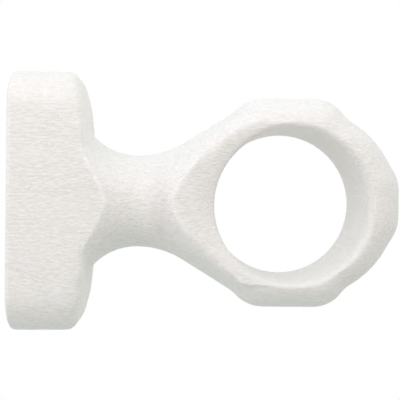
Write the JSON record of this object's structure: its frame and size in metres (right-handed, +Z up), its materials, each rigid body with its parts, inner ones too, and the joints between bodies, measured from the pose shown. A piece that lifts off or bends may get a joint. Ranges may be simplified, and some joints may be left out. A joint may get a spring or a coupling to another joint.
{
  "type": "curtain rod bracket",
  "caption": "Turned wooden wall bracket with a rectangular wall plate, a waisted neck and a drilled ring with flat pads that carries a round curtain pole.",
  "frame": {"origin": "centre of the face that lies on the wall, at the mouth of the fixing hole", "axes": "+X out from the wall along the neck, +Y along the pole, +Z up"},
  "size_m": [0.097, 0.0274, 0.0654],
  "materials": {
    "white_painted_wood": "thin matt white paint with the grain showing through"
  },
  "bodies": {
    "root": {"bracket_body": "white_painted_wood"}
  },
  "joints": []
}
